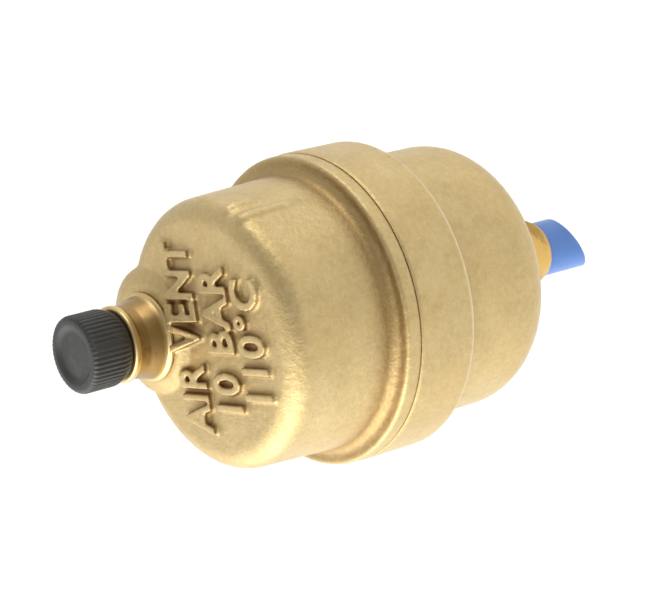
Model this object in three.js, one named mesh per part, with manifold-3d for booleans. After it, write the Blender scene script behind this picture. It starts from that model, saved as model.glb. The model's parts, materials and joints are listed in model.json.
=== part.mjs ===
// Automatic air vent for a heating system: a brass float chamber with a 1/8" pipe thread below
// and a knurled vent cap on an offset nozzle above. Millimetres, +Z up, origin on the thread's
// axis at the underside of the spanner hexagon. The nozzle stands on the +Y side.
//
// Inside, a hollow float hangs from a lever. As water fills the chamber the float rises and the
// lever presses a rubber seal against the nozzle's seat; as air collects it drops and opens it.
// The vent is drawn open, with the float down.
import * as THREE from "three";
import { mergeVertices } from "three/addons/utils/BufferGeometryUtils.js";
import Module from "manifold-3d";

const wasm = await Module();
wasm.setup();

// ---- Driving dimensions -------------------------------------------------------------------

const GAP = 0.1; // between pieces that rest on each other
const OVERCUT = 1; // how far a cutting tool reaches past what it cuts

// Inlet: 1/8" pipe thread under a spanner hexagon
const STUB_LENGTH = 9.2;
const THREAD_RADIUS = 5.15;
const THREAD_PITCH = 0.94;
const THREAD_DEPTH = 0.5;
const THREAD_RELIEF_RADIUS = 5.4; // a recess in the hexagon's underside, round the thread
const THREAD_RELIEF_DEPTH = 0.3;
const INLET_BORE = 2.8;
const HEX_ACROSS_FLATS = 17;
const HEX_HEIGHT = 4;

// Drip tongue: a tube plugged into the stub and cut off at a slant, with a flat tip
const TONGUE_TOP = -3.2;
const TONGUE_PLUG_RADIUS = 3.5;
const TONGUE_RADIUS = 4.25;
const TONGUE_BORE = 2.7;
const TONGUE_TIP = -19;
const SLANT_MIDDLE = -16.75; // height of the slanted cut on the axis
const SLANT_SLOPE = 0.65;
const SLANT_TURN = -22; // degrees from +X to the tongue's short side

// Body: a cup with a wider upper band that holds the cover's thread
const LOWER_RADIUS = 19.9;
const BODY_CORNER = 7;
const BAND_RADIUS = 23;
const BAND_BOTTOM = 23.8;
const BAND_EDGE = 0.9; // rounding of the band's lower edge
const BODY_RIM = 34.05;
const CHAMBER_RADIUS = 17.6;
const CHAMBER_FLOOR = 6.8;
const STOP_RIB_HEIGHT = 1.8;

// Cover: a flange on the body's rim, a threaded spigot below it and a dome above it
const FLANGE_BOTTOM = 34.3;
const FLANGE_TOP = 36.6;
const FLANGE_RADIUS = 22.85;
const SPIGOT_BOTTOM = 27.5;
const SPIGOT_RADIUS = 20.9;
const SPIGOT_ROOT = 20.3;
const SPIGOT_PITCH = 1.5;
const SPIGOT_CLEARANCE = 0.2;
const THREAD_START = 28.3;
const THREAD_TURNS = 2;
const DOME_BASE_RADIUS = 20.25;
const DOME_TOP_RADIUS = 19.5;
const FACE = 54.2; // height of the dome's flat face
const DOME_CORNER = 3.2;
const CEILING = 51.2;

// O-ring in a step of the body's rim, under the flange
const RING_POCKET_RADIUS = 22;
const RING_POCKET_FLOOR = 32.25;
const BODY_SEAL_SECTION = 0.7;

// Two casting ribs on the dome's +X side, each with its direction in degrees from +X and its ends
const RIBS = [
  { direction: -21.5, low: 46.5, high: 52.8 },
  { direction: -30.5, low: 43, high: 52.8 },
];
const RIB_WIDTH = 1.3;
const RIB_RADIUS = 20.1;

// Nozzle and the boss it stands on
const NOZZLE_Y = 13.3;
const BOSS_X = 0.55; // the casting's boss stands a little to one side of the nozzle
const BOSS_TOP = 55.2;
const BOSS_TOP_RADIUS = 7.3;
const BOSS_RADIUS = 9.6;
const BOSS_REACH = 22; // no part of the boss stands further out than this
const NOZZLE_BASE_RADIUS = 6.6;
const NOZZLE_FOOT_RADIUS = 6.15; // where its cone starts, above the thin base ring
const NOZZLE_NECK_RADIUS = 5.4;
const NOZZLE_COLLAR_RADIUS = 5.65;
const NOZZLE_SHOULDER = 61.2;
const SHANK_RADIUS = 4;
const VENT_BORE = 0.8;
const NOZZLE_SEAL_RADIUS = 4.9;
const NOZZLE_SEAL_SECTION = 0.4;
const CAP_SPIGOT_RADIUS = 3.6;
const CAP_SPIGOT_TOP = 65.7;

// Vent cap
const CAP_BOTTOM = NOZZLE_SHOULDER + GAP;
const CAP_TOP = 68.2;
const CAP_RADIUS = 5.7;
const CAP_FOOT_RADIUS = 5; // where its side tapers in at the bottom
const CAP_CORNER = 1.2;
const CAP_RIB_DEPTH = 0.2;
const CAP_RIBS = 48;
const CAP_BORE = 3.85;
const CAP_CEILING = 66.6;
const CAP_DISH_DEPTH = 0.6;

// Lever: pivots beyond the nozzle, so that the seal sits between the pivot and the float
const PIVOT_Y = 15.3;
const PIVOT_Z = 46;
const LEVER_OPEN_ANGLE = 12; // degrees that the lever hangs down when the vent is open
const LEVER_THICKNESS = 0.8;
const LEVER_HALF_WIDTH = 4.2;
const PIN_RADIUS = 0.5;
const PIN_HOLE = 0.58;
const SEAL_ARM = PIVOT_Y - NOZZLE_Y;
const SEAL_TOP = 3; // above the pivot, with the lever level
const SEAT = PIVOT_Z + SEAL_TOP + 0.05; // height of the lip that the seal closes

// Bracket that carries the lever's pin, under the ceiling
const CHEEK_INNER = 4.5;
const CHEEK_THICKNESS = 0.6;
const SCREW_X = 2.4;
const SCREW_Y = 6;
const SCREW_RADIUS = 1;
const SCREW_TOP = 53;

// Float: a thin cup closed by a lid, with a clevis for the lever's end
const FLOAT_RADIUS = 16.4;
const FLOAT_WALL = 0.8;
const FLOAT_BOTTOM = 9.2;
const FLOAT_TOP = 40.4;
const FLOAT_PIN_Z = PIVOT_Z - PIVOT_Y * Math.tan(THREE.MathUtils.degToRad(LEVER_OPEN_ANGLE));

// Smoothness
const AROUND = 36;
const AROUND_SMALL = 24;
const AROUND_PIN = 16;

// ---- Materials ----------------------------------------------------------------------------

const material = (color, roughness, metalness) =>
  new THREE.MeshStandardMaterial({ color, roughness, metalness });
const blastedBrass = material(0xb59e6b, 0.5, 1);
const turnedBrass = material(0xc9a45c, 0.28, 1);
const blackPlastic = material(0x2c2d2c, 0.45, 0);
const bluePlastic = material(0x3f74c4, 0.4, 0);
const rubber = material(0x1d1d1f, 0.8, 0);
const stainless = material(0xb9bcbf, 0.3, 1);
const whitePlastic = material(0xe2e0d8, 0.5, 0);

// ---- Geometry helpers ---------------------------------------------------------------------

// A closed three.js geometry as a solid that can be joined and cut.
function solid(geometry) {
  const loose = geometry.index ? geometry.toNonIndexed() : geometry;
  const bare = new THREE.BufferGeometry();
  bare.setAttribute("position", loose.getAttribute("position"));
  const merged = mergeVertices(bare, 1e-4);
  const index = merged.index.array;
  const corners = [];
  for (let i = 0; i < index.length; i += 3) {
    const [a, b, c] = index.slice(i, i + 3);
    if (a !== b && b !== c && c !== a) corners.push(a, b, c);
  }
  const vertProperties = merged.attributes.position.array;
  const triVerts = new Uint32Array(corners);
  return new wasm.Manifold(new wasm.Mesh({ numProp: 3, vertProperties, triVerts }));
}

// The solid as a three.js geometry again.
function geometryOf(body) {
  const { numProp, vertProperties, triVerts } = body.getMesh();
  const count = vertProperties.length / numProp;
  const position = new Float32Array(count * 3);
  for (let i = 0; i < count; i++) {
    position.set(vertProperties.subarray(i * numProp, i * numProp + 3), i * 3);
  }
  const geometry = new THREE.BufferGeometry();
  geometry.setAttribute("position", new THREE.BufferAttribute(position, 3));
  geometry.setIndex(new THREE.BufferAttribute(new Uint32Array(triVerts), 1));
  geometry.computeVertexNormals();
  return geometry;
}

const joined = (...bodies) => bodies.reduce((all, body) => all.add(body));
const cut = (body, ...tools) => tools.reduce((left, tool) => left.subtract(tool), body);

// A profile of [radius, height] points from the axis and back to it, turned about a vertical
// axis at (x, y).
function turned(profile, around = AROUND, y = 0, x = 0) {
  const points = profile.map(([r, z]) => new THREE.Vector2(r, z));
  const geometry = new THREE.LatheGeometry(points, around);
  geometry.rotateX(Math.PI / 2);
  geometry.translate(x, y, 0);
  return solid(geometry);
}

// A quarter-round stretch of a profile about (r, z), from one angle to another in degrees.
function corner(r, z, radius, from, to, steps = 3) {
  return Array.from({ length: steps + 1 }, (_, i) => {
    const angle = THREE.MathUtils.degToRad(from + ((to - from) * i) / steps);
    return [r + radius * Math.cos(angle), z + radius * Math.sin(angle)];
  });
}

// Thread ridges as a zigzag stretch of a profile, going up from a height.
function ridges(root, crest, from, pitch, count) {
  return Array.from({ length: count }, (_, i) => [
    [root, from + i * pitch],
    [crest, from + (i + 0.5) * pitch],
  ]).flat();
}

// A plain round bar between two heights, about a vertical axis at (x, y).
function bar(radius, low, high, y = 0, x = 0, around = AROUND_SMALL) {
  const geometry = new THREE.CylinderGeometry(radius, radius, high - low, around);
  geometry.rotateX(Math.PI / 2);
  geometry.translate(x, y, (low + high) / 2);
  return solid(geometry);
}

// A round bar along X between two places, with its axis at (y, z).
function crossBar(radius, left, right, y, z) {
  const geometry = new THREE.CylinderGeometry(radius, radius, right - left, AROUND_PIN);
  geometry.rotateZ(Math.PI / 2);
  geometry.translate((left + right) / 2, y, z);
  return solid(geometry);
}

// A box given by its lowest and highest corners.
function block([x0, y0, z0], [x1, y1, z1]) {
  const geometry = new THREE.BoxGeometry(x1 - x0, y1 - y0, z1 - z0);
  geometry.translate((x0 + x1) / 2, (y0 + y1) / 2, (z0 + z1) / 2);
  return solid(geometry);
}

// An outline of [x, y] points as a geometry that rises from one height to another.
function prism(outline, low, high) {
  const shape = new THREE.Shape(outline.map(([x, y]) => new THREE.Vector2(x, y)));
  const geometry = new THREE.ExtrudeGeometry(shape, { depth: high - low, bevelEnabled: false });
  geometry.translate(0, 0, low);
  return geometry;
}

// An outline of [y, z] points given a thickness along X.
function sideways(outline, left, right) {
  const geometry = prism(outline, left, right);
  geometry.rotateX(Math.PI / 2);
  geometry.rotateZ(Math.PI / 2);
  return solid(geometry);
}

// An outline of [x, z] points given a thickness along Y, half of it each way.
function standing(outline, thickness) {
  const geometry = prism(outline, -thickness / 2, thickness / 2);
  geometry.rotateX(Math.PI / 2);
  return solid(geometry);
}

// An O-ring about a vertical axis at y.
function torus(radius, section, y, z, around = AROUND) {
  const geometry = new THREE.TorusGeometry(radius, section, 8, around);
  geometry.translate(0, y, z);
  return solid(geometry);
}

// The same solid turned about the Z axis.
function spun(body, degrees) {
  const geometry = geometryOf(body);
  geometry.rotateZ(THREE.MathUtils.degToRad(degrees));
  return solid(geometry);
}

// ---- The assembly -------------------------------------------------------------------------

const vent = new THREE.Group();
const leverGroup = new THREE.Group();
leverGroup.position.set(0, PIVOT_Y, PIVOT_Z);
leverGroup.rotation.x = THREE.MathUtils.degToRad(LEVER_OPEN_ANGLE);
vent.add(leverGroup);

function place(name, body, look, parent = vent) {
  const mesh = new THREE.Mesh(geometryOf(body), look);
  mesh.name = name;
  parent.add(mesh);
}

// ---- Body and inlet -----------------------------------------------------------------------

function makeBody() {
  const threadRoot = THREAD_RADIUS - THREAD_DEPTH;
  const outside = turned([
    [0, -STUB_LENGTH],
    [threadRoot, -STUB_LENGTH],
    ...ridges(threadRoot, THREAD_RADIUS, -STUB_LENGTH + 0.3, THREAD_PITCH, 8),
    [threadRoot, -STUB_LENGTH + 0.3 + 8 * THREAD_PITCH],
    [threadRoot, HEX_HEIGHT / 2],
    [HEX_ACROSS_FLATS / 2 - 1, HEX_HEIGHT / 2],
    [HEX_ACROSS_FLATS / 2 - 1, HEX_HEIGHT],
    ...corner(LOWER_RADIUS - BODY_CORNER, HEX_HEIGHT + BODY_CORNER, BODY_CORNER, -90, 0, 5),
    [LOWER_RADIUS, BAND_BOTTOM],
    ...corner(BAND_RADIUS - BAND_EDGE, BAND_BOTTOM + BAND_EDGE, BAND_EDGE, -90, 0),
    [BAND_RADIUS, BODY_RIM - 0.3],
    [BAND_RADIUS - 0.3, BODY_RIM],
    [0, BODY_RIM],
  ]);
  const hexCorner = HEX_ACROSS_FLATS / 2 / Math.cos(Math.PI / 6);
  const hexOutline = Array.from({ length: 6 }, (_, i) => {
    const angle = ((i + 0.5) * Math.PI) / 3;
    return [hexCorner * Math.cos(angle), hexCorner * Math.sin(angle)];
  });
  const hexagon = cut(
    solid(prism(hexOutline, 0, HEX_HEIGHT + 0.3)),
    bar(THREAD_RELIEF_RADIUS, -OVERCUT, THREAD_RELIEF_DEPTH),
  );
  const tongueHole = TONGUE_PLUG_RADIUS + GAP;
  const threadHole = SPIGOT_RADIUS + SPIGOT_CLEARANCE;
  const threadCrest = SPIGOT_ROOT + SPIGOT_CLEARANCE;
  const threadEnd = THREAD_START + THREAD_TURNS * SPIGOT_PITCH;
  const inside = turned([
    [0, -STUB_LENGTH - OVERCUT],
    [tongueHole, -STUB_LENGTH - OVERCUT],
    [tongueHole, TONGUE_TOP + GAP],
    [INLET_BORE, TONGUE_TOP + GAP],
    [INLET_BORE, CHAMBER_FLOOR],
    ...corner(CHAMBER_RADIUS - 3.5, CHAMBER_FLOOR + 3.5, 3.5, -90, 0),
    [CHAMBER_RADIUS, SPIGOT_BOTTOM - 0.4],
    [threadHole, SPIGOT_BOTTOM - 0.4],
    [threadHole, THREAD_START - 0.4],
    ...ridges(threadCrest, threadHole, THREAD_START, SPIGOT_PITCH, THREAD_TURNS),
    [threadCrest, threadEnd],
    [threadHole, threadEnd + 0.3],
    [threadHole, RING_POCKET_FLOOR],
    [RING_POCKET_RADIUS, RING_POCKET_FLOOR],
    [RING_POCKET_RADIUS, BODY_RIM + OVERCUT],
    [0, BODY_RIM + OVERCUT],
  ]);
  // Three ribs on the floor keep the float off the inlet.
  const rib = block(
    [INLET_BORE + 1.6, -0.7, CHAMBER_FLOOR - 0.5],
    [13, 0.7, CHAMBER_FLOOR + STOP_RIB_HEIGHT],
  );
  const stopRibs = [90, 210, 330].map((angle) => spun(rib, angle));
  return joined(cut(joined(outside, hexagon), inside), ...stopRibs);
}

// Cut off at a slant, so that water drips back while air goes up.
function makeTongue() {
  const reach = TONGUE_RADIUS + OVERCUT;
  const tube = turned([
    [0, TONGUE_TIP],
    [TONGUE_RADIUS, TONGUE_TIP],
    [TONGUE_RADIUS, -STUB_LENGTH - GAP],
    [TONGUE_PLUG_RADIUS, -STUB_LENGTH - GAP],
    [TONGUE_PLUG_RADIUS, TONGUE_TOP],
    [0, TONGUE_TOP],
  ]);
  const below = standing([
    [-reach, SLANT_MIDDLE - SLANT_SLOPE * reach],
    [-reach, TONGUE_TIP - 2 * reach],
    [reach, TONGUE_TIP - 2 * reach],
    [reach, SLANT_MIDDLE + SLANT_SLOPE * reach],
  ], 2 * reach);
  return cut(
    tube,
    bar(TONGUE_BORE, TONGUE_TIP - OVERCUT, TONGUE_TOP + OVERCUT),
    spun(below, SLANT_TURN),
  );
}

// ---- Cover --------------------------------------------------------------------------------

function makeCover() {
  const threadEnd = THREAD_START + THREAD_TURNS * SPIGOT_PITCH;
  const outside = turned([
    [0, SPIGOT_BOTTOM],
    [SPIGOT_ROOT, SPIGOT_BOTTOM],
    ...ridges(SPIGOT_ROOT, SPIGOT_RADIUS, THREAD_START, SPIGOT_PITCH, THREAD_TURNS),
    [SPIGOT_ROOT, threadEnd],
    [SPIGOT_ROOT, FLANGE_BOTTOM],
    [FLANGE_RADIUS - 0.3, FLANGE_BOTTOM],
    [FLANGE_RADIUS, FLANGE_BOTTOM + 0.3],
    [FLANGE_RADIUS, FLANGE_TOP - 0.4],
    [FLANGE_RADIUS - 0.4, FLANGE_TOP],
    ...corner(DOME_BASE_RADIUS + 0.8, FLANGE_TOP + 0.8, 0.8, -90, -180),
    ...corner(DOME_TOP_RADIUS - DOME_CORNER, FACE - DOME_CORNER, DOME_CORNER, 0, 90, 4),
    [0, FACE],
  ]);
  const boss = turned([
    [0, FACE - 12],
    [5, FACE - 11],
    [BOSS_RADIUS - 0.7, FACE - 7.5],
    [BOSS_RADIUS, FACE - 4],
    ...corner(BOSS_RADIUS - 1.2, FACE - 1.1, 1.2, 0, 60, 3),
    [BOSS_TOP_RADIUS, BOSS_TOP],
    [0, BOSS_TOP],
  ], AROUND, NOZZLE_Y, BOSS_X).intersect(bar(BOSS_REACH, 0, BOSS_TOP + OVERCUT, 0, 0, AROUND));
  const ribs = RIBS.map(({ direction, low, high }) => spun(
    block([DOME_TOP_RADIUS - 1, -RIB_WIDTH / 2, low], [RIB_RADIUS, RIB_WIDTH / 2, high]),
    direction,
  ));
  const inside = turned([
    [0, SPIGOT_BOTTOM - OVERCUT],
    [CHAMBER_RADIUS, SPIGOT_BOTTOM - OVERCUT],
    ...corner(CHAMBER_RADIUS - 0.8, CEILING - 0.8, 0.8, 0, 90, 2),
    [0, CEILING],
  ]);
  const nozzleHole = bar(SHANK_RADIUS + 0.12, CEILING - OVERCUT, BOSS_TOP + OVERCUT, NOZZLE_Y);
  const screwHoles = [-SCREW_X, SCREW_X].map((x) =>
    bar(SCREW_RADIUS + 0.12, CEILING - OVERCUT, SCREW_TOP + 0.2, SCREW_Y, x, AROUND_PIN));
  return cut(joined(outside, boss, ...ribs), inside, nozzleHole, ...screwHoles);
}

// ---- Nozzle and cap -----------------------------------------------------------------------

function makeNozzle() {
  const base = BOSS_TOP + GAP;
  const outside = turned([
    [0, SEAT],
    [1.3, SEAT],
    [1.9, SEAT + 0.9],
    [SHANK_RADIUS - 0.4, SEAT + 0.9],
    [SHANK_RADIUS, SEAT + 1.3],
    [SHANK_RADIUS, base],
    [NOZZLE_BASE_RADIUS, base],
    [NOZZLE_BASE_RADIUS, base + 0.3],
    [NOZZLE_FOOT_RADIUS, base + 0.65],
    [NOZZLE_NECK_RADIUS + 0.15, base + 3.2],
    [NOZZLE_NECK_RADIUS, NOZZLE_SHOULDER - 1.3],
    [NOZZLE_COLLAR_RADIUS, NOZZLE_SHOULDER - 0.9],
    [NOZZLE_COLLAR_RADIUS, NOZZLE_SHOULDER - 0.3],
    [NOZZLE_COLLAR_RADIUS - 0.3, NOZZLE_SHOULDER],
    [CAP_SPIGOT_RADIUS, NOZZLE_SHOULDER],
    [CAP_SPIGOT_RADIUS, CAP_SPIGOT_TOP - 0.3],
    [CAP_SPIGOT_RADIUS - 0.3, CAP_SPIGOT_TOP],
    [0, CAP_SPIGOT_TOP],
  ], AROUND_SMALL, NOZZLE_Y);
  const bore = bar(VENT_BORE, SEAT - OVERCUT, CAP_SPIGOT_TOP + OVERCUT, NOZZLE_Y, 0, AROUND_PIN);
  const grooveReach = NOZZLE_SEAL_SECTION + 0.2;
  const groove = cut(
    bar(NOZZLE_SEAL_RADIUS + grooveReach, base - OVERCUT, base + 0.9, NOZZLE_Y),
    bar(NOZZLE_SEAL_RADIUS - grooveReach, base - OVERCUT, base + OVERCUT, NOZZLE_Y),
  );
  return cut(outside, bore, groove);
}

function makeCap() {
  const outline = Array.from({ length: CAP_RIBS * 4 }, (_, i) => {
    const angle = (i * Math.PI * 2) / (CAP_RIBS * 4);
    const radius = i % 4 < 2 ? CAP_RADIUS : CAP_RADIUS - CAP_RIB_DEPTH;
    return [radius * Math.cos(angle), NOZZLE_Y + radius * Math.sin(angle)];
  });
  const ribbed = solid(prism(outline, CAP_BOTTOM, CAP_TOP));
  const rounded = turned([
    [0, CAP_BOTTOM],
    [CAP_FOOT_RADIUS, CAP_BOTTOM],
    [CAP_FOOT_RADIUS + 0.5, CAP_BOTTOM + 0.7],
    [CAP_RADIUS + 0.1, CAP_BOTTOM + 1.5],
    [CAP_RADIUS + 0.1, CAP_TOP - CAP_CORNER],
    ...corner(CAP_RADIUS - CAP_CORNER, CAP_TOP - CAP_CORNER, CAP_CORNER, 20, 90, 3),
    [CAP_RADIUS - 1.7, CAP_TOP - 0.1],
    [CAP_RADIUS - 2.6, CAP_TOP - CAP_DISH_DEPTH],
    [0, CAP_TOP - CAP_DISH_DEPTH],
  ], AROUND_SMALL, NOZZLE_Y);
  return cut(ribbed.intersect(rounded), bar(CAP_BORE, CAP_BOTTOM - OVERCUT, CAP_CEILING, NOZZLE_Y));
}

// ---- Lever and seal, about the pivot with the lever level ---------------------------------

function makeLever() {
  const half = LEVER_THICKNESS / 2;
  const tongue = 0.7; // half the width of the end that enters the float's clevis
  const plate = block([-LEVER_HALF_WIDTH, -4.4, -half], [LEVER_HALF_WIDTH, -0.9, half]);
  const arm = block([-1.6, -13.8, -half], [1.6, -4.3, half]);
  const end = block([-tongue, -17.2, -1], [tongue, -13.7, 1]);
  const ears = [-LEVER_HALF_WIDTH, 2.2].flatMap((x) => [
    block([x, -1, -half], [x + 2, 0, half]),
    crossBar(1.1, x, x + 2, 0, 0),
  ]);
  const pinHole = crossBar(PIN_HOLE, -LEVER_HALF_WIDTH - 1, LEVER_HALF_WIDTH + 1, 0, 0);
  const stemHole = bar(0.62, -OVERCUT, OVERCUT, -SEAL_ARM, 0, AROUND_PIN);
  // The slot lets the float's pin slide as the lever swings.
  const near = -PIVOT_Y + 0.05;
  const far = -PIVOT_Y / Math.cos(THREE.MathUtils.degToRad(LEVER_OPEN_ANGLE)) - 0.05;
  const slotHeight = 0.62;
  const slot = joined(
    crossBar(slotHeight, -OVERCUT, OVERCUT, near, 0),
    crossBar(slotHeight, -OVERCUT, OVERCUT, far, 0),
    block([-OVERCUT, far, -slotHeight], [OVERCUT, near, slotHeight]),
  );
  return cut(joined(plate, arm, end, ...ears), pinHole, stemHole, slot);
}

function makeSealHolder() {
  const dish = bar(1.9, 1.5, SEAL_TOP - 0.4, -SEAL_ARM);
  const stem = bar(0.5, -1.4, 1.6, -SEAL_ARM, 0, AROUND_PIN);
  return cut(joined(dish, stem), bar(1.6, 1.9, SEAL_TOP, -SEAL_ARM));
}

const makeSeal = () => bar(1.5, 2, SEAL_TOP, -SEAL_ARM);
const makeSealClip = () => cut(
  bar(1.3, -1, -0.5, -SEAL_ARM, 0, AROUND_PIN),
  bar(0.6, -2, 0, -SEAL_ARM, 0, AROUND_PIN),
);

// ---- Bracket and its fasteners ------------------------------------------------------------

function makeBracket() {
  const plateTop = CEILING - GAP;
  const plateBottom = plateTop - CHEEK_THICKNESS;
  const outer = CHEEK_INNER + CHEEK_THICKNESS;
  const plate = block([-outer, 3.4, plateBottom], [outer, 16.3, plateTop]);
  const cheekOutline = [
    [10.4, plateTop],
    [10.4, PIVOT_Z - 1.9],
    [12.2, PIVOT_Z - 1.9],
    [14.2, PIVOT_Z - 1.2],
    [16.3, PIVOT_Z - 1.2],
    [16.3, plateTop],
  ];
  const cheeks = [-outer, CHEEK_INNER].map((x) => sideways(cheekOutline, x, x + CHEEK_THICKNESS));
  // Small tabs that the lever rests on when the vent is fully open.
  const tabs = [-outer, outer - 1.5].map((x) =>
    block([x, 10.4, PIVOT_Z - 1.9], [x + 1.5, 11.7, PIVOT_Z - 1.5]));
  const nozzleHole = bar(SHANK_RADIUS + 0.15, plateBottom - OVERCUT, plateTop + OVERCUT, NOZZLE_Y);
  const screwHoles = [-SCREW_X, SCREW_X].map((x) =>
    bar(SCREW_RADIUS + 0.12, plateBottom - OVERCUT, plateTop + OVERCUT, SCREW_Y, x, AROUND_PIN));
  const pinHole = crossBar(PIN_HOLE, -outer - 1, outer + 1, PIVOT_Y, PIVOT_Z);
  return cut(joined(plate, ...cheeks, ...tabs), nozzleHole, ...screwHoles, pinHole);
}

function makeScrew(x) {
  const headTop = CEILING - GAP - CHEEK_THICKNESS - GAP;
  const headBottom = headTop - 1.3;
  const head = bar(1.7, headBottom, headTop, SCREW_Y, x, AROUND_PIN);
  const shank = bar(SCREW_RADIUS, headTop - 0.2, SCREW_TOP, SCREW_Y, x, AROUND_PIN);
  const slot = block([x - 2, SCREW_Y - 0.25, headBottom - 1], [x + 2, SCREW_Y + 0.25, headBottom + 0.6]);
  return cut(joined(head, shank), slot);
}

function makePinClip(side) {
  const inner = side * (CHEEK_INNER + CHEEK_THICKNESS + GAP);
  const outer = inner + side * 0.4;
  const [left, right] = [Math.min(inner, outer), Math.max(inner, outer)];
  return cut(
    crossBar(1.1, left, right, PIVOT_Y, PIVOT_Z),
    crossBar(PIN_HOLE, left - 1, right + 1, PIVOT_Y, PIVOT_Z),
  );
}

// ---- Float --------------------------------------------------------------------------------

function makeFloatCup() {
  const rim = FLOAT_TOP - 1;
  const inner = FLOAT_RADIUS - FLOAT_WALL;
  const outside = turned([
    [0, FLOAT_BOTTOM],
    ...corner(FLOAT_RADIUS - 3.5, FLOAT_BOTTOM + 3.5, 3.5, -90, 0),
    [FLOAT_RADIUS, rim],
    [0, rim],
  ]);
  const inside = turned([
    [0, FLOAT_BOTTOM + FLOAT_WALL],
    ...corner(inner - 2.7, FLOAT_BOTTOM + FLOAT_WALL + 2.7, 2.7, -90, 0),
    [inner, rim + OVERCUT],
    [0, rim + OVERCUT],
  ]);
  return cut(outside, inside);
}

function makeFloatLid() {
  const inner = FLOAT_RADIUS - FLOAT_WALL - GAP;
  return turned([
    [0, FLOAT_TOP - 2],
    [inner, FLOAT_TOP - 2],
    [inner, FLOAT_TOP - 1 + GAP],
    [FLOAT_RADIUS, FLOAT_TOP - 1 + GAP],
    [FLOAT_RADIUS, FLOAT_TOP - 0.3],
    [FLOAT_RADIUS - 0.3, FLOAT_TOP],
    [0, FLOAT_TOP],
  ]);
}

function makeClevis() {
  const base = FLOAT_TOP + GAP;
  const foot = block([-3.2, -2, base], [3.2, 2, base + 0.6]);
  const ears = [-1.5, 0.9].map((x) => block([x, -1.1, base], [x + 0.6, 1.1, FLOAT_PIN_Z + 1]));
  return cut(joined(foot, ...ears), crossBar(PIN_HOLE, -4, 4, 0, FLOAT_PIN_Z));
}

// ---- Pieces, from the pipe up -------------------------------------------------------------

place("body", makeBody(), blastedBrass);
place("inlet_tongue", makeTongue(), bluePlastic);
const sealHeight = (RING_POCKET_FLOOR + FLANGE_BOTTOM) / 2;
const sealRadius = (RING_POCKET_RADIUS + SPIGOT_ROOT) / 2;
place("body_seal", torus(sealRadius, BODY_SEAL_SECTION, 0, sealHeight), rubber);
place("cover", makeCover(), blastedBrass);

const nozzleSealZ = BOSS_TOP + 0.55;
place("vent_nozzle", makeNozzle(), turnedBrass);
place("nozzle_seal",
  torus(NOZZLE_SEAL_RADIUS, NOZZLE_SEAL_SECTION, NOZZLE_Y, nozzleSealZ, AROUND_SMALL), rubber);
place("vent_cap", makeCap(), blackPlastic);
place("cap_seal", bar(3.5, CAP_SPIGOT_TOP + 0.15, CAP_CEILING - 0.1, NOZZLE_Y), rubber);

place("float_cup", makeFloatCup(), whitePlastic);
place("float_lid", makeFloatLid(), whitePlastic);
place("float_clevis", makeClevis(), stainless);
place("float_pin", crossBar(PIN_RADIUS, -2, 2, 0, FLOAT_PIN_Z), stainless);

place("lever", makeLever(), stainless, leverGroup);
place("seal_holder", makeSealHolder(), turnedBrass, leverGroup);
place("valve_seal", makeSeal(), rubber, leverGroup);
place("seal_clip", makeSealClip(), stainless, leverGroup);

place("lever_bracket", makeBracket(), stainless);
place("lever_pin", crossBar(PIN_RADIUS, -6, 6, PIVOT_Y, PIVOT_Z), stainless);
place("pin_clip_left", makePinClip(-1), stainless);
place("pin_clip_right", makePinClip(1), stainless);
place("bracket_screw_left", makeScrew(-SCREW_X), stainless);
place("bracket_screw_right", makeScrew(SCREW_X), stainless);

export default vent;
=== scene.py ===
"""The looks of a brass automatic air vent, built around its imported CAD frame.

Outlines are in millimetres, as (radius, height, fillet) corners, and start from the CAD boxes.
Meshes are in metres. The nozzle stands on the +Y side, and +Z runs from the pipe to the cap.
"""
import json
import math

import bmesh
import bpy
from mathutils import Matrix, Vector, noise


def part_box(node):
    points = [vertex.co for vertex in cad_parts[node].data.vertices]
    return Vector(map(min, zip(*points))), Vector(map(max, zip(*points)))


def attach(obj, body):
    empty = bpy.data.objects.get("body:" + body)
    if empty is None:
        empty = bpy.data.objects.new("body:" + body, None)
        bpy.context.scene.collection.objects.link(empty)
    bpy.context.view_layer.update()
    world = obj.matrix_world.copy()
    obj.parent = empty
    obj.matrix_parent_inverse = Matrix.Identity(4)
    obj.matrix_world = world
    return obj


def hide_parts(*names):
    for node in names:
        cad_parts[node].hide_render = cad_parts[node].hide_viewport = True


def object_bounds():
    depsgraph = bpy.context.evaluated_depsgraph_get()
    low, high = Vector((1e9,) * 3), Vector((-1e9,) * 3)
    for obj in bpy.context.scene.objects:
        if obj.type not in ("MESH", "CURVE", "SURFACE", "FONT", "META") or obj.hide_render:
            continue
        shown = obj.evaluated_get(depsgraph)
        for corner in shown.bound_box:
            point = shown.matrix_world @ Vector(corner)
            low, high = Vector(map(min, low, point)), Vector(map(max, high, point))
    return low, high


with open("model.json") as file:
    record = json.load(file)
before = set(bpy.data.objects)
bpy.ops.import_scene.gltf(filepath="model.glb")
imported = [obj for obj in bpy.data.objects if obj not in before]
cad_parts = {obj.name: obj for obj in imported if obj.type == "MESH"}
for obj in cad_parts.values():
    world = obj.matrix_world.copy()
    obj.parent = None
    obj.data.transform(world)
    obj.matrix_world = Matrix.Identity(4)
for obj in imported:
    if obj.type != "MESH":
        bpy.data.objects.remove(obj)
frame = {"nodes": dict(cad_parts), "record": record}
cad_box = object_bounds()
MM = 0.001


# ---- Camera and light ---------------------------------------------------------------------

ELEVATION = math.radians(37.35)
AZIMUTH = math.radians(10.1)
ROLL = math.radians(-104.8)
LENS = 139.3
SENSOR = 36
DISTANCE = 362.7 * MM
AIM_ABOVE_RIM = 1.45 * MM  # the place on the vent's axis that the camera is set out from
AIM_RIGHT = 1.96 * MM
AIM_UP = 1.5 * MM
LIGHTS_AIM = 27 * MM  # height of the middle of the vent


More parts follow.
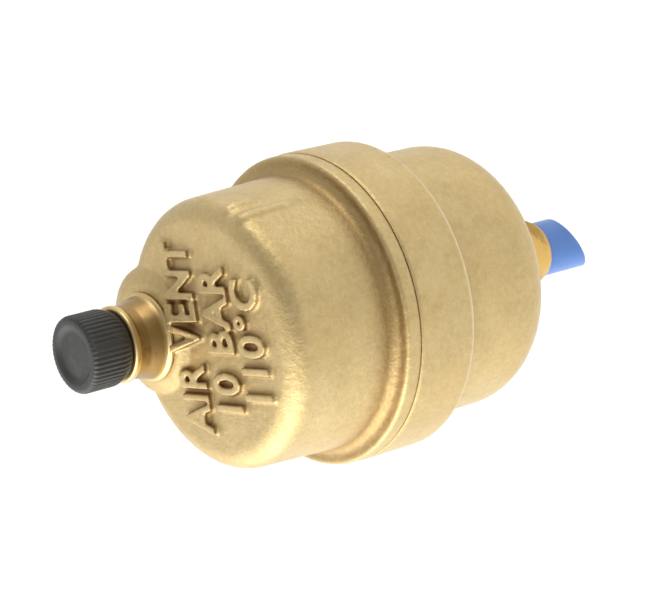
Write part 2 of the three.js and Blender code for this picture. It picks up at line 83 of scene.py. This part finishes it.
def camera_axes():
    """The camera's right, up and backward directions."""
    side = Vector((math.cos(AZIMUTH), math.sin(AZIMUTH), 0))
    back = Vector((
        math.sin(AZIMUTH) * math.cos(ELEVATION),
        -math.cos(AZIMUTH) * math.cos(ELEVATION),
        math.sin(ELEVATION),
    ))
    above = back.cross(side)
    right = math.cos(ROLL) * side + math.sin(ROLL) * above
    up = math.cos(ROLL) * above - math.sin(ROLL) * side
    return right, up, back


RIGHT, UP, BACK = camera_axes()


def make_camera():
    aim = Vector((0, 0, body.top * MM + AIM_ABOVE_RIM))
    place = aim + RIGHT * AIM_RIGHT + UP * AIM_UP + BACK * DISTANCE
    data = bpy.data.cameras.new("camera")
    data.lens = LENS
    data.sensor_width = SENSOR
    camera = bpy.data.objects.new("camera", data)
    turn = Matrix((RIGHT, UP, BACK)).transposed().to_4x4()
    camera.matrix_world = Matrix.Translation(place) @ turn
    bpy.context.collection.objects.link(camera)
    bpy.context.scene.camera = camera
    bpy.context.scene.view_settings.view_transform = "Standard"


def make_light(name, direction, distance, size, power):
    """A soft square light that faces the middle of the vent."""
    data = bpy.data.lights.new(name, "AREA")
    data.size = size
    data.energy = power
    light = bpy.data.objects.new(name, data)
    away = direction.normalized()
    light.location = Vector((0, 0, LIGHTS_AIM)) + away * distance
    light.rotation_euler = away.to_track_quat("Z", "Y").to_euler()
    bpy.context.collection.objects.link(light)


def make_world(around, below, behind):
    """A soft white surround, with an amount of light added below the vent as it lies in view and
    another added behind the camera."""
    world = bpy.data.worlds.new("studio")
    world.use_nodes = True
    tree = world.node_tree
    direction = tree.nodes.new("ShaderNodeTexCoord").outputs["Generated"]
    strength = around
    for axis, amount in ((-UP, below), (BACK, behind)):
        share = tree.nodes.new("ShaderNodeVectorMath")
        share.operation = "DOT_PRODUCT"
        share.inputs[1].default_value = axis
        tree.links.new(direction, share.inputs[0])
        ramp = tree.nodes.new("ShaderNodeMapRange")
        ramp.interpolation_type = "SMOOTHSTEP"
        ramp.inputs["From Min"].default_value = -0.1
        ramp.inputs["From Max"].default_value = 0.9
        ramp.inputs["To Max"].default_value = amount
        tree.links.new(share.outputs["Value"], ramp.inputs["Value"])
        total = tree.nodes.new("ShaderNodeMath")
        total.operation = "ADD"
        if isinstance(strength, float):
            total.inputs[0].default_value = strength
        else:
            tree.links.new(strength, total.inputs[0])
        tree.links.new(ramp.outputs["Result"], total.inputs[1])
        strength = total.outputs["Value"]
    tree.links.new(strength, tree.nodes["Background"].inputs["Strength"])
    tree.nodes["Background"].inputs["Color"].default_value = (1, 1, 1, 1)
    bpy.context.scene.world = world


# ---- Mesh tools ---------------------------------------------------------------------------

def rounded(corners, step=math.radians(10)):
    """Corners of (radius, height, fillet) as an outline with its corners rounded."""
    outline = []
    for i, (r, z, fillet) in enumerate(corners):
        here = Vector((r, z))
        if fillet <= 0 or i in (0, len(corners) - 1):
            outline.append(here)
            continue
        before = (Vector(corners[i - 1][:2]) - here).normalized()
        after = (Vector(corners[i + 1][:2]) - here).normalized()
        opening = before.angle(after)
        centre = here + (before + after).normalized() * (fillet / math.sin(opening / 2))
        first = here + before * (fillet / math.tan(opening / 2)) - centre
        last = here + after * (fillet / math.tan(opening / 2)) - centre
        turn = math.pi - opening
        if first.cross(last) < 0:
            turn = -turn
        count = max(2, math.ceil(abs(turn) / step))
        for k in range(count + 1):
            outline.append(centre + Matrix.Rotation(turn * k / count, 2) @ first)
    return outline


def refined(outline, longest):
    """The outline with no stretch longer than a length."""
    points = [outline[0]]
    for end in outline[1:]:
        start = points[-1]
        count = max(1, math.ceil((end - start).length / longest))
        points += [start.lerp(end, k / count) for k in range(1, count + 1)]
    return points


def new_piece(name, verts, faces):
    mesh = bpy.data.meshes.new(name)
    mesh.from_pydata(verts, [], faces)
    mesh.validate()
    piece = bpy.data.objects.new(name, mesh)
    bpy.context.collection.objects.link(piece)
    fix_normals(piece)
    mesh.shade_smooth()
    return piece


def fix_normals(piece):
    work = bmesh.new()
    work.from_mesh(piece.data)
    bmesh.ops.recalc_face_normals(work, faces=work.faces)
    work.to_mesh(piece.data)
    work.free()


def lathe(name, outline, around, centre=(0, 0), reshape=None):
    """The outline turned about a vertical axis. reshape changes a point's radius."""
    x, y = centre
    verts, rings = [], []
    for r, z in outline:
        if r < 1e-6:
            rings.append([len(verts)])
            verts.append((x * MM, y * MM, z * MM))
            continue
        rings.append(range(len(verts), len(verts) + around))
        for k in range(around):
            angle = 2 * math.pi * k / around
            radius = reshape(r, z, angle) if reshape else r
            verts.append(((x + radius * math.cos(angle)) * MM,
                          (y + radius * math.sin(angle)) * MM, z * MM))
    faces = []
    for low, high in zip(rings, rings[1:]):
        for k in range(around):
            nxt = (k + 1) % around
            if len(low) == 1 and len(high) > 1:
                faces.append((low[0], high[nxt], high[k]))
            elif len(high) == 1 and len(low) > 1:
                faces.append((low[k], low[nxt], high[0]))
            elif len(low) > 1:
                faces.append((low[k], low[nxt], high[nxt], high[k]))
    return new_piece(name, verts, faces)


def rod(name, radius, low, high, around, centre=(0, 0)):
    """A plain round rod, to be cut out of another piece or kept in common with it."""
    ends = [(0, low, 0), (radius, low, 0), (radius, high, 0), (0, high, 0)]
    return lathe(name, rounded(ends), around, centre)


def merge_ends(piece):
    """Closes an outline that ends where it starts."""
    work = bmesh.new()
    work.from_mesh(piece.data)
    bmesh.ops.remove_doubles(work, verts=work.verts, dist=1e-7)
    bmesh.ops.recalc_face_normals(work, faces=work.faces)
    work.to_mesh(piece.data)
    work.free()


def apply_modifiers(piece):
    graph = bpy.context.evaluated_depsgraph_get()
    mesh = bpy.data.meshes.new_from_object(piece.evaluated_get(graph))
    piece.modifiers.clear()
    piece.data = mesh


def combine(piece, tool, operation):
    """Adds the tool to the piece (UNION), cuts it out (DIFFERENCE) or keeps what they share."""
    boolean = piece.modifiers.new("combine", "BOOLEAN")
    boolean.operation = operation
    boolean.solver = "EXACT"
    boolean.object = tool
    apply_modifiers(piece)
    bpy.data.objects.remove(tool)


def join_loose(piece, others):
    """Puts other closed shells into the piece's mesh as they are."""
    work = bmesh.new()
    work.from_mesh(piece.data)
    for other in others:
        other.data.transform(other.matrix_world)
        work.from_mesh(other.data)
        bpy.data.objects.remove(other)
    work.to_mesh(piece.data)
    work.free()


def remesh(piece, voxel, smoothing):
    """Melts the piece's shells into one skin of small even faces, softened as a casting is."""
    skin = piece.modifiers.new("skin", "REMESH")
    skin.mode = "VOXEL"
    skin.voxel_size = voxel * MM
    soften = piece.modifiers.new("soften", "SMOOTH")
    soften.factor = 0.5
    soften.iterations = smoothing
    apply_modifiers(piece)
    piece.data.shade_smooth()


def roughen(piece, amount, size, keep=None):
    """Moves each point a little along its normal, as sand or shot leaves a casting."""
    mesh = piece.data
    normals = [vertex.normal.copy() for vertex in mesh.vertices]
    for vertex, normal in zip(mesh.vertices, normals):
        if keep and keep(vertex.co / MM):
            continue
        coarse = noise.noise(vertex.co / (size * MM))
        fine = noise.noise(vertex.co / (size * 0.4 * MM))
        vertex.co += normal * ((coarse + 0.5 * fine) * amount * MM)


def weigh_normals(piece):
    """Keeps flat faces flat next to small fillets."""
    piece.modifiers.new("normals", "WEIGHTED_NORMAL").keep_sharp = True


# ---- Measures taken from the frame ----------------------------------------------------------

class Extent:
    """A CAD node's radius, bottom, top and middle, in millimetres."""

    def __init__(self, node):
        low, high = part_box(node)
        self.radius = (high[0] - low[0]) / 2 / MM
        self.bottom = low[2] / MM
        self.top = high[2] / MM
        self.y = (high[1] + low[1]) / 2 / MM


body = Extent("body")
cover = Extent("cover")
nozzle = Extent("vent_nozzle")
cap = Extent("vent_cap")
tongue = Extent("inlet_tongue")

FLANGE_BOTTOM = body.top - 0.02  # the flange is screwed down tight on the body's rim
FLANGE_TOP = body.top + 2.55
FLANGE_RADIUS = body.radius - 0.15
FACE = cap.bottom - 7.1  # height of the dome's flat face
BOSS_TOP = FACE + 1
BOSS_TOP_RADIUS = 7.3
BOSS_RADIUS = 9.6
BOSS_X = 0.55  # it stands a little to one side of the nozzle
BOSS_REACH = 22  # from the vent's own axis
DOME_TOP_RADIUS = body.radius - 3.5
DOME_BASE_RADIUS = body.radius - 2.75
JOINT_SLOPE = 0.4  # the shallow groove where the flange meets the rim, half its width
JOINT_DEPTH = 0.15
HEX_RADIUS = 8.5  # to the flats of the spanner hexagon
HEX_HEIGHT = 4
THREAD_RADIUS = 5.15
THREAD_ROOT = 4.6
THREAD_PITCH = 0.94
THREAD_END = 0.3  # depth of the recess round the thread, in the hexagon's underside
RELIEF_RADIUS = 5.4
INLET_BORE = 2.8
PLUG_RADIUS = 3.5  # of the tongue's end inside the stub
PLUG_HOLE = PLUG_RADIUS + 0.1
LOWER_RADIUS = body.radius - 3.1
BAND_BOTTOM = 23.8
CHAMBER_RADIUS = 17.6
CHAMBER_FLOOR = 6.8
CHAMBER_CEILING = FACE - 3
SPIGOT_RADIUS = 20.3  # of the cover's threaded end, inside the body's band
SPIGOT_HOLE = 21.1
SPIGOT_SHELF = 27.1
RING_POCKET_RADIUS = 22
RING_POCKET_FLOOR = 32.3
SHANK_RADIUS = 4  # of the nozzle, inside the cover
HOLE_CLEARANCE = 0.12
CASTING_VOXEL = 0.22
GRAIN_DEPTH = 0.03  # of the castings' blasted skin
GRAIN_SIZE = 1.1
NOZZLE_BASE = BOSS_TOP + 0.1  # where the nozzle's foot stands on the boss
NOZZLE_TOP = cap.bottom - 0.1  # the end of the nozzle's collar, under the cap


# ---- Materials ----------------------------------------------------------------------------

class Look:
    """A procedural material being built, with object coordinates in metres."""

    def __init__(self, name, metallic, roughness):
        self.material = bpy.data.materials.new(name)
        self.material.use_nodes = True
        self.tree = self.material.node_tree
        self.shader = self.tree.nodes["Principled BSDF"]
        self.shader.inputs["Metallic"].default_value = metallic
        self.shader.inputs["Roughness"].default_value = roughness
        self.place = self.tree.nodes.new("ShaderNodeTexCoord").outputs["Object"]

    def node(self, kind, inputs=(), **settings):
        node = self.tree.nodes.new(kind)
        for key, value in settings.items():
            setattr(node, key, value)
        for key, value in dict(inputs).items():
            if isinstance(value, bpy.types.NodeSocket):
                self.tree.links.new(value, node.inputs[key])
            else:
                node.inputs[key].default_value = value
        return node

    def grain(self, size, detail=2.0, stretch=(1, 1, 1)):
        """Noise whose features are about a size in millimetres."""
        place = self.node("ShaderNodeMapping", {"Vector": self.place, "Scale": stretch}).outputs[0]
        inputs = {"Vector": place, "Scale": 1 / (size * MM), "Detail": detail, "Roughness": 0.55}
        return self.node("ShaderNodeTexNoise", inputs).outputs["Fac"]

    def spread(self, value, low, high):
        """A 0..1 value taken from its middle range to low..high."""
        inputs = {"Value": value, "From Min": 0.3, "From Max": 0.7, "To Min": low, "To Max": high}
        return self.node("ShaderNodeMapRange", inputs).outputs["Result"]

    def mix(self, factor, one, other):
        node = self.tree.nodes.new("ShaderNodeMix")
        node.data_type = "RGBA"
        self.tree.links.new(factor, node.inputs[0])
        for socket, value in ((6, one), (7, other)):
            if isinstance(value, bpy.types.NodeSocket):
                self.tree.links.new(value, node.inputs[socket])
            else:
                node.inputs[socket].default_value = (*value, 1)
        return node.outputs[2]

    def bump(self, height, depth, below=None):
        inputs = {"Height": height, "Strength": 1.0, "Distance": depth * MM}
        if below:
            inputs["Normal"] = below
        return self.node("ShaderNodeBump", inputs).outputs["Normal"]

    def ramp(self, value, low, high):
        """0 at low, 1 at high, and smooth between them."""
        inputs = {"Value": value, "From Min": low, "From Max": high}
        node = self.node("ShaderNodeMapRange", inputs, interpolation_type="SMOOTHSTEP")
        return node.outputs["Result"]

    def occlusion_shade(self, reach):
        """1 deep in corners no wider than a reach in millimetres, 0 in the open: a mask for painted
        shade.
        """
        inputs = {"Distance": reach * MM}
        open_sky = self.node("ShaderNodeAmbientOcclusion", inputs, only_local=True)
        return self.ramp(open_sky.outputs["AO"], 0.97, 0.4)

    def height(self):
        return self.node("ShaderNodeSeparateXYZ", {"Vector": self.place}).outputs["Z"]

    def band(self, start, full, fading, end, amount):
        """An amount between two heights in millimetres, 0 below start and above end."""
        height = self.height()
        rise = self.ramp(height, start * MM, full * MM)
        fall = self.ramp(height, end * MM, fading * MM)
        both = self.node("ShaderNodeMath", {0: rise, 1: fall}, operation="MULTIPLY").outputs[0]
        return self.node("ShaderNodeMath", {0: both, 1: amount}, operation="MULTIPLY").outputs[0]

    def dust(self, weight):
        """A pale bloom that shows where the surface turns away."""
        self.shader.inputs["Sheen Weight"].default_value = weight
        self.shader.inputs["Sheen Roughness"].default_value = 0.4

    def color(self, value):
        self.tree.links.new(value, self.shader.inputs["Base Color"])

    def roughness(self, value):
        self.tree.links.new(value, self.shader.inputs["Roughness"])

    def normal(self, value):
        self.tree.links.new(value, self.shader.inputs["Normal"])


def cast_brass():
    """Shot-blasted brass: a fine matt grain, slight blotches, painted shade round the dome's foot
    and in its hollows, a painted highlight along the band's lower edge, with the pipe thread turned
    bright."""
    look = Look("cast_brass", 1.0, 0.5)
    blotch = look.spread(look.grain(5, 3), 0, 1)
    fine = look.grain(0.35, 2)
    speck = look.grain(0.9, 2)
    base = look.mix(blotch, (0.51, 0.385, 0.18), (0.61, 0.47, 0.235))
    warm = look.mix(look.spread(look.grain(11, 2), 0, 0.5), base, (0.56, 0.39, 0.15))
    bright = look.mix(look.spread(speck, 0, 0.35), warm, (0.70, 0.57, 0.32))
    # painted shade: a brown band round the dome's foot, where the flange's corner lies in shade
    foot = look.band(FLANGE_TOP - 0.3, FLANGE_TOP + 0.6, FLANGE_TOP + 0.8, FLANGE_TOP + 4.4, 0.5)
    foot_shaded = look.mix(foot, bright, (0.32, 0.19, 0.06))
    # painted shade: darker brown in corners and round the letters, from ambient occlusion
    corner_shaded = look.mix(look.occlusion_shade(6.0), foot_shaded, (0.24, 0.13, 0.04))
    # painted highlight: a pale line along the band's lower edge, where its rounded corner catches
    # light
    edge = look.band(BAND_BOTTOM - 0.2, BAND_BOTTOM + 0.2, BAND_BOTTOM + 0.6, BAND_BOTTOM + 1.1, 0.6)
    edge_highlighted = look.mix(edge, corner_shaded, (0.78, 0.66, 0.46))
    blasted = look.ramp(look.height(), -0.1 * MM, 0.1 * MM)
    look.color(look.mix(blasted, (0.68, 0.43, 0.13), edge_highlighted))
    look.dust(0.2)
    look.roughness(look.mix(blasted, (0.28, 0.28, 0.28), look.spread(fine, 0.46, 0.62)))
    relief = look.bump(fine, 0.05)
    look.normal(look.bump(speck, 0.07, relief))
    return look.material


def turned_brass():
    """Machined brass with fine turning rings about the vertical axis, with painted shade round the
    neck and in its corners.
    """
    look = Look("turned_brass", 1.0, 0.25)
    rings = look.grain(0.12, 1, (0.02, 0.02, 1))
    tone = look.spread(look.grain(3, 2), 0, 1)
    clean = look.mix(tone, (0.62, 0.45, 0.20), (0.70, 0.53, 0.26))
    # painted shade: the neck's middle is brown, where it lies in shade under the cap
    neck_shade_mask = look.band(NOZZLE_BASE + 0.6, NOZZLE_BASE + 1.4, NOZZLE_TOP - 1.5, NOZZLE_TOP - 0.9, 1.0)
    neck_shaded = look.mix(neck_shade_mask, clean, (0.34, 0.22, 0.085))
    # painted shade: darker brown in the nozzle's corners, from ambient occlusion
    look.color(look.mix(look.occlusion_shade(2.5), neck_shaded, (0.25, 0.15, 0.05)))
    look.roughness(look.spread(look.grain(1.2, 3), 0.26, 0.4))
    look.normal(look.bump(rings, 0.012))
    return look.material


def moulded(name, dark, light, roughness):
    """Moulded plastic or rubber with a fine spark-eroded texture."""
    look = Look(name, 0.0, roughness)
    look.color(look.mix(look.spread(look.grain(2.5, 3), 0, 1), dark, light))
    look.roughness(look.spread(look.grain(1.0, 2), roughness - 0.05, roughness + 0.08))
    look.normal(look.bump(look.grain(0.25, 2), 0.012))
    return look.material


def rolled_steel():
    """Stainless sheet and wire with lengthwise rolling marks."""
    look = Look("stainless_steel", 1.0, 0.3)
    marks = look.grain(0.15, 2, (1, 0.04, 1))
    tone = look.spread(look.grain(2, 2), 0, 1)
    look.color(look.mix(tone, (0.56, 0.57, 0.58), (0.68, 0.68, 0.68)))
    look.roughness(look.spread(marks, 0.22, 0.4))
    look.normal(look.bump(marks, 0.008))
    return look.material


def floor_look():
    """A pale matt table."""
    look = Look("floor", 0.0, 0.7)
    tone = look.spread(look.grain(60, 2), 0, 1)
    look.color(look.mix(tone, (0.88, 0.88, 0.87), (0.90, 0.90, 0.89)))
    return look.material


LOOKS = {
    "cast_brass": cast_brass(),
    "turned_brass": turned_brass(),
    "black_plastic": moulded("black_plastic", (0.026, 0.026, 0.023), (0.038, 0.038, 0.034), 0.45),
    "blue_plastic": moulded("blue_plastic", (0.072, 0.185, 0.5), (0.09, 0.21, 0.54), 0.35),
    "seal_rubber": moulded("seal_rubber", (0.02, 0.02, 0.022), (0.035, 0.035, 0.037), 0.7),
    "stainless_steel": rolled_steel(),
    "white_plastic": moulded("white_plastic", (0.74, 0.73, 0.69), (0.8, 0.79, 0.76), 0.4),
}


def finish_piece(piece, body_name, slot, *nodes):
    """Gives a finished piece its material, hangs it on the body it moves with and hides the CAD
    nodes it stands for.
    """
    piece.data.materials.clear()
    piece.data.materials.append(LOOKS[slot])
    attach(piece, body_name)
    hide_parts(*nodes)


# ---- Body ---------------------------------------------------------------------------------

def body_radius(r, z, angle):
    """The body's radius at an angle: turned, but for its hexagon and its pipe thread."""
    if 0 < z < HEX_HEIGHT and r > HEX_RADIUS - 1.2 and r < HEX_RADIUS + 1:
        part = (angle + math.pi / 6) % (math.pi / 3) - math.pi / 6
        flat = HEX_RADIUS / math.cos(part)
        chamfer = HEX_RADIUS + 0.75 - max(0, 0.7 - z) * 0.9
        return r - (HEX_RADIUS - min(flat, chamfer))
    if body.bottom < z < -0.3 and r > THREAD_ROOT - 0.3:
        phase = (z / THREAD_PITCH - angle / (2 * math.pi)) % 1
        ridge = 1 - abs(2 * phase - 1)
        fade = min(1, (z - body.bottom) / 0.9, (-0.3 - z) / 0.9)
        ridge = min(max((ridge - 0.15) / 0.7, 0), 1)
        return THREAD_ROOT + (THREAD_RADIUS - THREAD_ROOT) * ridge * max(fade, 0)
    return r


def make_body():
    outside = rounded([
        (PLUG_HOLE, body.bottom, 0),
        (THREAD_ROOT, body.bottom, 0.15),
        (THREAD_ROOT, THREAD_END, 0),
        (RELIEF_RADIUS, THREAD_END, 0),
        (RELIEF_RADIUS, 0, 0.1),
        (HEX_RADIUS, 0, 0),
        (HEX_RADIUS, HEX_HEIGHT, 0.4),
        (LOWER_RADIUS, HEX_HEIGHT, 7),
        (LOWER_RADIUS, BAND_BOTTOM, 0.3),
        (body.radius, BAND_BOTTOM, 1.0),
        (body.radius, body.top - JOINT_SLOPE, 0.15),
        (body.radius - JOINT_DEPTH, body.top, 0.05),
        (RING_POCKET_RADIUS, body.top, 0),
    ], math.radians(6))
    inside = rounded([
        (RING_POCKET_RADIUS, body.top, 0),
        (RING_POCKET_RADIUS, RING_POCKET_FLOOR, 0.1),
        (SPIGOT_HOLE, RING_POCKET_FLOOR, 0),
        (SPIGOT_HOLE, SPIGOT_SHELF, 0),
        (CHAMBER_RADIUS, SPIGOT_SHELF, 0),
        (CHAMBER_RADIUS, CHAMBER_FLOOR, 3.5),
        (INLET_BORE, CHAMBER_FLOOR, 0.3),
        (INLET_BORE, tongue.top + 0.1, 0),
        (PLUG_HOLE, tongue.top + 0.1, 0),
        (PLUG_HOLE, body.bottom, 0),
    ])
    stub = refined(outside[:4], 0.06)
    outline = stub + refined(outside[3:], 0.5)[1:] + inside[1:]
    piece = lathe("body_casting", outline, 240, reshape=body_radius)
    merge_ends(piece)
    roughen(piece, GRAIN_DEPTH, GRAIN_SIZE,
            lambda p: p.z < 0.2 or math.hypot(p.x, p.y) < CHAMBER_RADIUS + 0.1)
    weigh_normals(piece)
    finish_piece(piece, "chamber", "cast_brass", "body")


# ---- Cover --------------------------------------------------------------------------------

LETTER_ROWS = [("AIR VENT", 4.0, 28.0), ("10 BAR", -3.9, 21.0), ("110°C", -10.9, 17.3)]
LETTER_HEIGHT = 6.4
RIBS = [(-21.5, 46.5), (-30.5, 42)]  # direction in degrees from +X, and lower end
RIB_HALF_WIDTH = 0.9
RIB_HEIGHT = 0.5
LETTER_RELIEF = 0.85


def dome_radius(r, z, angle):
    """The dome's radius at an angle: turned, but for its two low casting ribs."""
    lift = 0
    for direction, low in RIBS:
        away = (angle - math.radians(direction) + math.pi) % (2 * math.pi) - math.pi
        across = max(0, 1 - abs(away * r / RIB_HALF_WIDTH))
        along = min(1, max(0, (z - low) / 2), max(0, (r - 18) / 1.2))
        lift = max(lift, across ** 0.5 * along)
    return r + RIB_HEIGHT * lift


def face_height(x, y):
    """Height of the dome's face, and of the boss that slopes up out of it."""
    away = math.hypot(x - BOSS_X, y - nozzle.y)
    rise = (BOSS_RADIUS - 0.3 - away) / (BOSS_RADIUS - 0.3 - BOSS_TOP_RADIUS)
    return FACE + (BOSS_TOP - FACE) * min(max(rise, 0), 1)


def letter_row(text, y, length):
    """A row of raised letters that reads along +X, with their feet sunk in the face."""
    curve = bpy.data.curves.new("letters", "FONT")
    curve.body = text
    curve.extrude = 0.5
    curve.offset = 0.035
    curve.space_character = 1.1
    curve.resolution_u = 3
    source = bpy.data.objects.new("letters", curve)
    bpy.context.collection.objects.link(source)
    graph = bpy.context.evaluated_depsgraph_get()
    mesh = bpy.data.meshes.new_from_object(source.evaluated_get(graph))
    bpy.data.objects.remove(source)
    row = bpy.data.objects.new("letters", mesh)
    bpy.context.collection.objects.link(row)
    xs = [v.co.x for v in mesh.vertices]
    ys = [v.co.y for v in mesh.vertices]
    middle = Vector(((min(xs) + max(xs)) / 2, (min(ys) + max(ys)) / 2, 0))
    width = length * MM / (max(xs) - min(xs))
    height = LETTER_HEIGHT * MM / (max(ys) - min(ys))
    for vertex in mesh.vertices:
        at = vertex.co - middle
        x, up = at.x * width, y * MM + at.y * height
        z = face_height(x / MM, up / MM) + LETTER_RELIEF if at.z > 0 else FACE - 0.6
        vertex.co = (x, up, z * MM)
    work = bmesh.new()
    work.from_mesh(mesh)
    bmesh.ops.remove_doubles(work, verts=work.verts, dist=1e-6)
    work.to_mesh(mesh)
    work.free()
    return row


def make_cover():
    shell = lathe("cover_casting", refined(rounded([
        (0, FACE, 0),
        (DOME_TOP_RADIUS, FACE, 3.3),
        (DOME_BASE_RADIUS, FLANGE_TOP, 1.5),
        (FLANGE_RADIUS, FLANGE_TOP, 0.5),
        (FLANGE_RADIUS, FLANGE_BOTTOM + JOINT_SLOPE, 0.15),
        (FLANGE_RADIUS - JOINT_DEPTH, FLANGE_BOTTOM, 0.05),
        (SPIGOT_RADIUS, FLANGE_BOTTOM, 0),
        (SPIGOT_RADIUS, cover.bottom, 0),
        (0, cover.bottom, 0),
    ]), 1), 720, reshape=dome_radius)
    boss = lathe("boss", rounded([
        (0, FACE - 12, 0),
        (5, FACE - 11.3, 2),
        (BOSS_RADIUS - 0.6, FACE - 7, 4),
        (BOSS_RADIUS, FACE - 3, 2),
        (BOSS_RADIUS, FACE - 0.1, 1.2),
        (BOSS_TOP_RADIUS, BOSS_TOP, 1.5),
        (0, BOSS_TOP, 0),
    ]), 96, (BOSS_X, nozzle.y))
    reach = rod("reach", BOSS_REACH, 30, 60, 180)
    combine(boss, reach, "INTERSECT")
    hole = rod("hole", SHANK_RADIUS + HOLE_CLEARANCE, 40, 60, 96, (0, nozzle.y))
    chamber = lathe("chamber", rounded([
        (0, cover.bottom - 1, 0),
        (CHAMBER_RADIUS, cover.bottom - 1, 0),
        (CHAMBER_RADIUS, CHAMBER_CEILING, 0.8),
        (0, CHAMBER_CEILING, 0),
    ]), 180)
    combine(shell, boss, "UNION")
    combine(shell, chamber, "DIFFERENCE")
    combine(shell, hole, "DIFFERENCE")
    extras = [letter_row(*row) for row in LETTER_ROWS]
    join_loose(shell, extras)
    remesh(shell, CASTING_VOXEL, 3)
    roughen(shell, GRAIN_DEPTH, GRAIN_SIZE, lambda p: p.z < FLANGE_BOTTOM + 0.4)
    finish_piece(shell, "chamber", "cast_brass", "cover")


# ---- Nozzle, cap and tongue ---------------------------------------------------------------

SEAT_HEIGHT = 0.9  # of the valve seat at the shank's lower end
GROOVE_DEPTH = 0.9  # of the seal's groove, in the foot's underside
FOOT_RADIUS = 6.6
NECK_RADIUS = 5.4
COLLAR_RADIUS = 5.65
CAP_THREAD_RADIUS = 3.6
NOZZLE_BORE = 0.8


def make_nozzle():
    outline = rounded([
        (NOZZLE_BORE, nozzle.bottom, 0),
        (1.3, nozzle.bottom, 0.1),
        (1.9, nozzle.bottom + SEAT_HEIGHT, 0),
        (SHANK_RADIUS, nozzle.bottom + SEAT_HEIGHT, 0.3),
        (SHANK_RADIUS, NOZZLE_BASE, 0),
        (4.3, NOZZLE_BASE, 0),
        (4.3, NOZZLE_BASE + GROOVE_DEPTH, 0),
        (5.5, NOZZLE_BASE + GROOVE_DEPTH, 0),
        (5.5, NOZZLE_BASE, 0),
        (FOOT_RADIUS, NOZZLE_BASE, 0.08),
        (FOOT_RADIUS, NOZZLE_BASE + 0.35, 0.14),
        (FOOT_RADIUS - 0.45, NOZZLE_BASE + 0.65, 0.25),
        (NECK_RADIUS + 0.15, NOZZLE_BASE + 3.2, 2),
        (NECK_RADIUS, NOZZLE_TOP - 1.3, 0.3),
        (COLLAR_RADIUS, NOZZLE_TOP - 0.95, 0.2),
        (COLLAR_RADIUS, NOZZLE_TOP, 0.35),
        (CAP_THREAD_RADIUS, NOZZLE_TOP, 0.1),
        (CAP_THREAD_RADIUS, nozzle.top, 0.3),
        (NOZZLE_BORE, nozzle.top, 0.1),
        (NOZZLE_BORE, nozzle.bottom, 0),
    ])
    piece = lathe("nozzle_turned", outline, 128, (0, nozzle.y))
    merge_ends(piece)
    weigh_normals(piece)
    finish_piece(piece, "chamber", "turned_brass", "vent_nozzle")


CAP_RIBS = 48
CAP_RIB_DEPTH = 0.18
CAP_BORE = 3.85


def cap_radius(r, z, angle):
    """The cap's radius at an angle: rounded ribs that run out at its rims."""
    rib = (0.5 + 0.5 * math.cos(angle * CAP_RIBS)) ** 0.6
    fade = min(1, max(0, (r - cap.radius + 0.7) / 0.6))
    return r - CAP_RIB_DEPTH * (1 - rib) * fade


def make_cap():
    outline = rounded([
        (CAP_BORE, cap.bottom, 0),
        (cap.radius - 0.7, cap.bottom, 0.15),
        (cap.radius, cap.bottom + 1.6, 1.2),
        (cap.radius, cap.top, 0.8),
        (cap.radius - 1.3, cap.top, 0.4),
        (cap.radius - 2.2, cap.top - 0.6, 1.0),
        (0, cap.top - 0.45, 0),
        (0, cap.top - 1.6, 0),
        (CAP_BORE, cap.top - 1.6, 0.1),
        (CAP_BORE, cap.bottom, 0),
    ])
    piece = lathe("cap_moulding", refined(outline, 0.4), CAP_RIBS * 12, (0, cap.y), cap_radius)
    merge_ends(piece)
    weigh_normals(piece)
    finish_piece(piece, "cap", "black_plastic", "vent_cap")


TONGUE_BORE = 2.7
SLANT_MIDDLE = -16.75  # height of the slanted cut on the axis
SLANT_SLOPE = 0.65
SLANT_TURN = math.radians(-22)


def make_tongue():
    """A tube plugged into the stub, cut at a slant below it, with a flat tip."""
    plug_end = body.bottom - 0.1
    around = 192

    def end(radius, angle):
        slant = SLANT_MIDDLE + SLANT_SLOPE * radius * math.cos(angle - SLANT_TURN)
        return max(slant, tongue.bottom)

    rows = [[(PLUG_RADIUS, z)] * around for z in (tongue.top, plug_end)]
    rows.append([(tongue.radius, plug_end)] * around)
    angles = [2 * math.pi * i / around for i in range(around)]
    down = 16
    for radius, steps in ((tongue.radius, range(1, down + 1)), (TONGUE_BORE, range(down, -1, -1))):
        top = plug_end if radius == tongue.radius else tongue.top
        for k in steps:
            rows.append([(radius, top + (end(radius, a) - top) * k / down) for a in angles])
    verts = [(r * math.cos(a) * MM, r * math.sin(a) * MM, z * MM)
             for row in rows for a, (r, z) in zip(angles, row)]
    faces = []
    for k in range(len(rows)):
        low, high = k * around, (k + 1) % len(rows) * around
        faces += [(low + i, low + (i + 1) % around, high + (i + 1) % around, high + i)
                  for i in range(around)]
    piece = new_piece("tongue_moulding", verts, faces)
    edge = piece.modifiers.new("edge", "BEVEL")
    edge.width = 0.2 * MM
    edge.segments = 3
    edge.limit_method = "ANGLE"
    edge.angle_limit = math.radians(40)
    apply_modifiers(piece)
    piece.data.shade_smooth()
    weigh_normals(piece)
    finish_piece(piece, "chamber", "blue_plastic", "inlet_tongue")


# ---- Pieces kept from the frame -------------------------------------------------------------

def dress_frame_nodes():
    """Gives every CAD node the finish of its own material slot."""
    for entry in frame["record"]["subparts"]:
        node = frame["nodes"][entry["node"]]
        for place in node.material_slots:
            place.material = LOOKS[entry["material_slot"]]


# ---- The scene ----------------------------------------------------------------------------

def make_floor():
    size = 2.0
    height = cad_box[0][2] - 60 * MM
    verts = [(x * size, y * size, height) for x, y in ((-1, -1), (1, -1), (1, 1), (-1, 1))]
    floor = new_piece("floor", verts, [(0, 1, 2, 3)])
    floor.data.materials.append(floor_look())


make_camera()
make_world(0.85, 1.05, -0.5)
make_light("bounce", -UP + 0.2 * BACK - 0.2 * RIGHT, 0.5, 0.6, 2.4)
make_light("overhead", UP + 0.2 * BACK, 0.6, 0.4, 1.5)
make_floor()
dress_frame_nodes()
make_body()
make_cover()
make_nozzle()
make_cap()
make_tongue()
